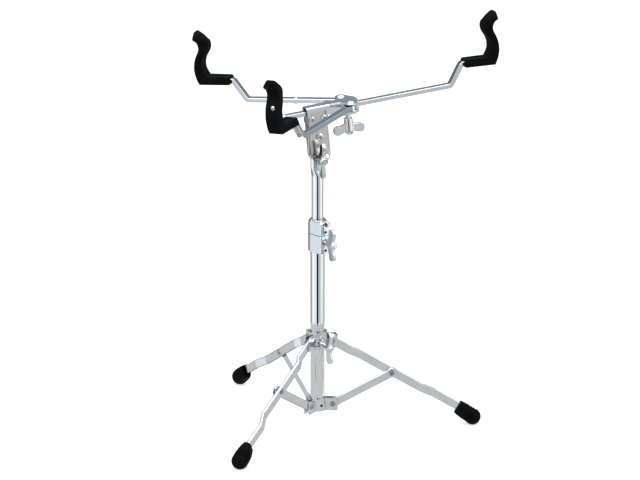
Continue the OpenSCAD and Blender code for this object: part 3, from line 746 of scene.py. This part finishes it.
def wing_bolt(name, local, x0, x1, x2, hub=4.7, bore=0, collar=0, span=WING_SPAN):
    """A cast bolt or nut: hub and wings from x1 to x2 along its axis, in one soft-edged body.

    x0 is where its shank starts, or None for a nut, and collar is how far the hub reaches past x1.
    """
    profile = [(x1 - collar, hub - 0.3), (x1 - collar + 0.3, hub), (x2 - 4.4, hub), (x2 - 1, hub - 1)]
    parts = [revolve("hub", profile + [(x2, hub - 1.9)], steps=48)]
    for s in (-1, 1):
        wing = prism("wing", wing_outline(x1, x2, s, span), -WING_HALF, WING_HALF)
        parts.append(bake(round_edges(wing, 1.5, 4)))
    body = joined(name, parts)
    mod = body.modifiers.new("fuse", "REMESH")
    mod.mode, mod.voxel_size = "VOXEL", 0.42 * MM
    mod = body.modifiers.new("soften", "SMOOTH")
    mod.factor, mod.iterations = 0.5, 7
    bake(body)
    if bore:
        cut(body, revolve("bore", [(x2 - 9, bore), (x2 - 1.2, bore), (x2 + 1, bore + 1.2)]))
    shade(body, 50)
    if x0 is not None:
        body = shade(joined(name, [body, thread_mesh(x0, x1)]), 50)
    return move_to(body, local)


DOWNWARD = Matrix.Rotation(math.radians(90), 4, "Y")
SLIDE_BOLT = BASKET @ Matrix.Translation((WING_BOLT_X, 0, SLIDE_Z - GAP)) @ DOWNWARD
for piece, node, local, along, shape in (
    ("collar_wing_casting", "collar_wing_bolt", bolt_frame("collar_bolt_turn"), (LOWER_R + GAP, 24, 42), {}),
    ("clamp_wing_casting", "clamp_wing_bolt", bolt_frame("clamp_bolt_turn"), (TUBE_R + GAP, 25.5, 44), {}),
    ("slide_wing_casting", "slide_wing_bolt", SLIDE_BOLT, (0, 18.5, 36.5), {"hub": 5.8, "collar": 4.5}),
    ("tilt_wing_casting", "tilt_wing_nut", bolt_frame("tilt_nut_turn"), (None, 7.7, 27.4),
     {"hub": 6, "bore": 3.3, "span": 47.5}),
):
    place(wing_bolt(piece, local, *along, **shape), node, "chrome_cast", node)


# ---------- clamp castings ----------

def touch(point, radius, side):
    """Angle in degrees where a line from point touches a circle, on the side -1 or 1."""
    return math.degrees(math.atan2(point[1], point[0]) + side * math.acos(radius / math.hypot(*point)))


def clamp_plan(inset):
    """The clamp's outline from above: round about the tube, with a lug for the bolt."""
    r = CLAMP_R - inset
    far = (BOSS_FAR[0] - inset, BOSS_FAR[1] - inset)
    near = (BOSS_NEAR[0] - inset, BOSS_NEAR[1] + inset)
    around = arc(0, 0, r, touch(far, r, 1), touch(near, r, -1) + 360, 56)
    lug = filleted([around[-1], near, (far[0], near[1] + 1.4), far, around[0]], 1.4, 4)
    return around + [tuple(p) for p in lug[1:-1]]


def casting(name, z0, z1, bore, shoulder, pin_z, bolt_z, bolt_r):
    """A clamp block with a soft lower edge, a rounded shoulder (in, down) on top, and its bores."""
    edge = 0.7
    levels = [(edge - y, z0 + edge - x) for x, y in (polar(edge, a) for a in (0, 30, 60, 90))]
    for c, s in (polar(1, a) for a in range(0, 91, 9)):
        levels.append((shoulder[0] * (1 - c), z1 - shoulder[1] * (1 - s)))
    body = loft(name, [[(x, y, z) for x, y in clamp_plan(inset)] for inset, z in levels])
    roll_pin_at = Matrix.Translation((0, ROLL_PIN_Y, pin_z))
    cut(body,
        revolve("bore", [(z0 - 2, bore), (z1 + 2, bore)], Matrix.Rotation(math.radians(-90), 4, "Y"), 72),
        revolve("bolt", [(5, bolt_r), (30, bolt_r)], Matrix.Translation((0, 0, bolt_z))),
        revolve("pin", [(14, ROLL_PIN_R), (30, ROLL_PIN_R)], roll_pin_at, 32))
    move_to(body, Matrix.Rotation(math.radians(CLAMP_AZ), 4, "Z"))
    return flat_normals(shade(body, 30))


CLAMP_TOP = CLAMP_FLOOR + CLAMP_H
LOCK_FLOOR = CLAMP_TOP + GAP
clamp = casting("clamp_casting", CLAMP_FLOOR, CLAMP_TOP, LOWER_R, (0.7, 0.7),
                CLAMP_FLOOR + CLAMP_PIN, CLAMP_FLOOR + CLAMP_BOLT, CLAMP_BOLT_R)
place(clamp, "base", "chrome_cast", "clamp_body")
lock = casting("memory_casting", LOCK_FLOOR, LOCK_FLOOR + LOCK_H - LOCK_DROP, TUBE_R + 0.06, (3.3, 5.0),
               LOCK_FLOOR + LOCK_PIN, LOCK_FLOOR + LOCK_BOLT, LOCK_BOLT_R)
place(lock, "memory_lock", "chrome_cast", "memory_lock")


# ---------- housing of the sliding arm: a folded channel with a cross piece for both arm rivets ----------

def box_plate(name, x0, x1, y0, y1, z0, z1):
    """A rectangular plate."""
    return plate(name, [(x0, y0), (x1, y0), (x1, y1), (x0, y1)], z0, z1)


def cross_outline(start_y):
    """One ear of the cross piece, from the channel out round its arm rivet; the other mirrors it."""
    shoulder = filleted([(24, start_y), (32, start_y), (38, RIVET_Y + 6)], 6, 6)[:-1]
    return [tuple(p) for p in shoulder + arc(RIVET_X, RIVET_Y, EAR_R, 125, 0, 16) + [(HOUSING_END, start_y)]]


def channel_half(radius, inset, steps):
    """Half of the housing's folded section, from its lower edge to the end of its fold."""
    return [(inset - HOUSING_HALF, HOUSING_LOW)] + \
        arc(FOLD_R - HOUSING_HALF, HOUSING_TOP - FOLD_R, radius, 180, 90, steps)


def housing_mesh():
    """Channel, top with both ears, walls, floors and the wing bolt's block, pressed into one."""
    outside, inside = channel_half(FOLD_R, 0, 8), channel_half(FOLD_R - HOUSING_T, HOUSING_T, 5)
    outside += [(-y, z) for y, z in reversed(outside)]
    inside += [(-y, z) for y, z in reversed(inside)]
    section = outside + inside[::-1]
    stations = (HOUSING_START, HOUSING_START + 0.5, CROSS_X, CROSS_X + 0.5)
    sheet_low, flat_half = HOUSING_TOP - HOUSING_T, HOUSING_HALF - 1.5
    ear = cross_outline(flat_half)
    parts = [
        loft("channel", [[(x, y, z) for y, z in section] for x in stations]),
        plate("top", ear + [(x, -y) for x, y in reversed(ear)], sheet_low, HOUSING_TOP),
        box_plate("spine", CROSS_X, 26, -flat_half, flat_half, sheet_low, HOUSING_TOP),
    ]
    for s in (-1, 1):
        out, near = s * HOUSING_HALF, s * FLANGE_Y
        parts += [
            plate("floor", [(x, s * y) for x, y in ear] + [(HOUSING_END, s * 6), (24, s * 6)], 30.6, 32.4),
            box_plate("wall", CROSS_X, HOUSING_END, out, near, HOUSING_LOW - 0.2, HOUSING_TOP - 0.8),
            box_plate("skirt", 30, HOUSING_END, out, near, 24, HOUSING_LOW),
        ]
    long, wide = BLOCK_HALF
    parts.append(box_plate("block", WING_BOLT_X - long, WING_BOLT_X + long, -wide, wide, 22, SLIDE_Z - GAP))
    for part in parts:
        bake(round_edges(part, 0.45, 3, 30))
    body = joined("housing_pressing", parts)
    # room for the tilter's upper screws and nuts
    cut(body, box_plate("window", -9.5, 11.5, -12, 12, 26, 34.6), use_self=True)
    return flat_normals(shade(move_to(body, BASKET), 32))


place(housing_mesh(), "basket", "chrome_sheet", "slide_housing")


# ---------- upper tube, rolled flat at the tilter ----------

def tube_section(t, half_x, steps=72):
    """Round at t = 0, a flat-sided ear at t = 1."""
    straight = half_x - TUBE_EAR_HALF
    out = []
    for c, s in (polar(1, 360 * i / steps) for i in range(steps)):
        ear_x = math.copysign(straight, c) * min(1, abs(c) * 4) + TUBE_EAR_HALF * c
        out.append(((1 - t) * TUBE_R * c + t * ear_x, (1 - t) * TUBE_R * s + t * TUBE_EAR_HALF * s))
    return out


def upper_tube_mesh():
    """The tube up to its flare, the flare, and the ear with its round top."""
    lo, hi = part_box("upper_tube")
    z0, pivot = lo.z / MM, joint_pos("basket_tilt").z
    ear = hi.z / MM - pivot
    heights = [z0 + (FLARE_Z - z0) * i / 6 for i in range(7)]
    heights += [FLARE_Z + FLARE_LEN * i / 14 for i in range(1, 15)] + [370, 385, pivot]
    heights += [pivot + polar(ear, a)[1] for a in range(8, 90, 8)]
    rings = []
    for z in heights:
        t = min(1, max(0, (z - FLARE_Z) / FLARE_LEN))
        t = t * t * (3 - 2 * t)
        half_x = max(TUBE_EAR_HALF + 0.2, math.sqrt(max(0, ear ** 2 - max(0, z - pivot) ** 2)))
        rings.append([(x, y, z) for x, y in tube_section(t, half_x)])
    slide = joint_axis("slide_arm_slide")
    turn = Matrix.Rotation(math.atan2(slide.y, slide.x), 4, "Z")
    return shade(loft("upper_tube_rolled", rings, turn), 40)


place(upper_tube_mesh(), "upper_tube", "chrome_tube", "upper_tube")


# ---------- carried-over CAD nodes: softened edges and finishes ----------

REPLACED = {n for o in bpy.context.scene.objects for n in o.get("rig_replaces", [])}
SLOT_OF = {s["node"]: s["material_slot"] for s in frame["record"]["subparts"]}
EDGE_WIDTH = {"leg_collar": 0.4, "bottom_bracket": 0.4, "tilter_plate_front": 0.4, "tilter_plate_rear": 0.4,
              "memory_key_bolt": 0.35, "tilter_screws": 0.15, "pivot_screw": 0.15, "clamp_bush": 0,
              "base_tube": 0.3}
for node, obj in frame["nodes"].items():
    if node in REPLACED:
        continue
    for material_slot in obj.material_slots:
        material_slot.material = MATERIALS[SLOT_OF[node]]
    width = EDGE_WIDTH.get(node, 0.25)
    if width:
        weld = obj.modifiers.new("weld", "WELD")
        weld.merge_threshold = 1e-6
        round_edges(obj, width, 2, 35)
        obj.modifiers.new("normals", "WEIGHTED_NORMAL").keep_sharp = False

# ---------- floor, light and camera ----------

CAMERA_AZ, CAMERA_EL, CAMERA_DIST = math.radians(2.66), math.radians(16.12), 6.0
CAMERA_TARGET, LENS, SENSOR = Vector((0, 0, 0.256)), 256.3, 36
LENS_SHIFT = 0.0039  # part of the picture's width


def disc(name, radius, z):
    """A flat disc that belongs to the stage."""
    mesh = bpy.data.meshes.new(name)
    bm = bmesh.new()
    bmesh.ops.create_circle(bm, cap_ends=True, segments=96, radius=radius)
    bm.to_mesh(mesh)
    bm.free()
    obj = bpy.data.objects.new(name, mesh)
    obj.location.z = z
    bpy.context.scene.collection.objects.link(obj)
    return obj


def floor_material(name, tone, glow):
    """Plain card that glows a little by itself."""
    n = Nodes(name)
    cloud = n.noise(1.5, 2)
    color = n.blend(n.spread(cloud, 0.3, 0.7, 0, 1), (tone * 0.99,) * 3, (tone,) * 3)
    n.finish(color, n.spread(cloud, 0.3, 0.7, 0.8, 0.9), Specular_IOR_Level=0.0)
    n.shader.inputs["Emission Color"].default_value = (1, 1, 1, 1)
    n.shader.inputs["Emission Strength"].default_value = glow
    return n.mat


# the white floor isn't mirrored in the chrome: a small grey one is, under the stand
floor = disc("floor", 40, -0.0002)
floor.data.materials.append(floor_material("floor_white", 0.62, 0.62))
floor.visible_glossy = False
table = disc("floor_reflected", 0.47, -0.0001)
table.data.materials.append(floor_material("floor_grey", 0.0, 0.60))
table.visible_camera = table.visible_diffuse = table.visible_shadow = table.visible_transmission = False


def studio_world():
    """A white studio: softbox overhead, pale sides, a dark gap at the viewer and a grey wall opposite."""
    world = bpy.data.worlds.new("studio")
    bpy.context.scene.world = world
    world.use_nodes = True
    tree = world.node_tree
    tree.nodes.clear()
    new, link = tree.nodes.new, tree.links.new
    coord, xyz = new("ShaderNodeTexCoord"), new("ShaderNodeSeparateXYZ")
    link(coord.outputs["Generated"], xyz.inputs[0])

    def calc(operation, a, b=0.0):
        node = new("ShaderNodeMath")
        node.operation = operation
        for socket, value in zip(node.inputs, (a, b)):
            if isinstance(value, (int, float)):
                socket.default_value = value
            else:
                link(value, socket)
        return node.outputs[0]

    def ramp(value, stops):
        node = new("ShaderNodeValToRGB")
        link(value, node.inputs[0])
        elements = node.color_ramp.elements
        while len(elements) > 1:
            elements.remove(elements[-1])
        elements[0].position, elements[0].color = stops[0][0], (*stops[0][1], 1)
        for position, color in stops[1:]:
            elements.new(position).color = (*color, 1)
        return node.outputs[0]

    cos_a, sin_a = math.cos(CAMERA_AZ), math.sin(CAMERA_AZ)
    # azimuth from the camera's side: 0.5 towards the camera, rising to the right, 0 and 1 behind the object
    x, y, z = xyz.outputs
    front = calc("SUBTRACT", calc("MULTIPLY", x, sin_a), calc("MULTIPLY", y, cos_a))
    right = calc("ADD", calc("MULTIPLY", x, cos_a), calc("MULTIPLY", y, sin_a))
    azimuth = calc("ADD", calc("DIVIDE", calc("ARCTAN2", right, front), 2 * math.pi), 0.5)
    wall, dark_wall = (0.27, 0.33, 0.38), (0.11, 0.135, 0.155)

    def grey(v, tint=0.0):
        return (v * (1 - tint), v, v * (1 + tint))

    def at(degrees):
        return 0.5 + degrees / 360

    dark_gap = grey(0.004)
    sides = ramp(azimuth, [
        (0.0, wall), (at(-150), dark_wall), (at(-125), grey(0.27, 0.12)), (at(-108), grey(0.43, 0.1)),
        (at(-98), grey(0.84, 0.05)), (at(-78), grey(0.86, 0.05)), (at(-74), grey(1.3)), (at(-60), grey(1.2)),
        (at(-50), grey(0.72, 0.05)), (at(-38), grey(0.93, 0.055)), (at(-16), grey(1.0, 0.04)),
        (at(-12), dark_gap), (at(11), dark_gap), (at(15), grey(0.62, 0.03)), (at(24), grey(0.52, 0.04)),
        (at(44), grey(0.60, 0.03)), (at(48), grey(0.4, 0.03)), (at(53), grey(0.95, 0.01)),
        (at(98), grey(1.05)), (at(108), grey(0.45, 0.06)), (at(125), wall), (1.0, wall)])
    # height from 0 straight down to 1 straight up: floor, the band that shows the sides, softbox
    floor_top, sides_low, sides_high, box_low = 0.28, 0.34, 0.72, 0.80
    black, white, below, box = grey(0.0), grey(1.0), grey(0.30, 0.03), grey(0.80, 0.03)
    up = calc("ADD", calc("MULTIPLY", z, 0.5), 0.5)
    height = ramp(up, [(0.0, below), (floor_top, below), (sides_low, black), (sides_high, black),
                       (box_low, box), (0.93, box), (0.96, grey(1.3)), (1.0, grey(1.3))])
    mask = ramp(up, [(floor_top, black), (sides_low, white), (sides_high, white), (box_low, black)])
    mix = new("ShaderNodeMix")
    mix.data_type = "RGBA"
    link(mask, mix.inputs[0])
    link(height, mix.inputs[6])
    link(sides, mix.inputs[7])
    # the chrome sees the studio, and the camera sees plain white behind the stand
    seen, plain = new("ShaderNodeBackground"), new("ShaderNodeBackground")
    out = new("ShaderNodeOutputWorld")
    link(mix.outputs[2], seen.inputs["Color"])
    plain.inputs["Color"].default_value = (1, 1, 1, 1)
    path, choose = new("ShaderNodeLightPath"), new("ShaderNodeMixShader")
    link(path.outputs["Is Camera Ray"], choose.inputs[0])
    link(seen.outputs[0], choose.inputs[1])
    link(plain.outputs[0], choose.inputs[2])
    link(choose.outputs[0], out.inputs["Surface"])


def area_light(name, place_at, size, power):
    """A round soft light, turned to the middle of the stand."""
    data = bpy.data.lights.new(name, "AREA")
    data.shape, data.size, data.energy = "DISK", size, power
    obj = bpy.data.objects.new(name, data)
    obj.location = place_at
    obj.rotation_euler = (Vector((0, 0, 0.25)) - obj.location).to_track_quat("-Z", "Y").to_euler()
    bpy.context.scene.collection.objects.link(obj)


studio_world()
area_light("key", Vector((-1.4, -1.6, 2.4)), 1.6, 30)
area_light("fill", Vector((1.9, -0.9, 1.7)), 1.4, 14)
area_light("top", Vector((0.1, 0.5, 2.6)), 1.8, 22)

camera = bpy.data.objects.new("camera", bpy.data.cameras.new("camera"))
bpy.context.scene.collection.objects.link(camera)
back = Vector((
    math.sin(CAMERA_AZ) * math.cos(CAMERA_EL),
    -math.cos(CAMERA_AZ) * math.cos(CAMERA_EL),
    math.sin(CAMERA_EL)))
camera.location = CAMERA_TARGET + back * CAMERA_DIST
camera.rotation_mode = "QUATERNION"
camera.rotation_quaternion = (-back).to_track_quat("-Z", "Y")
camera.data.sensor_width, camera.data.lens = SENSOR, LENS
camera.data.shift_x = LENS_SHIFT
camera.data.clip_start, camera.data.clip_end = 0.1, 100
bpy.context.scene.camera = camera
bpy.context.scene.view_settings.view_transform = "Standard"
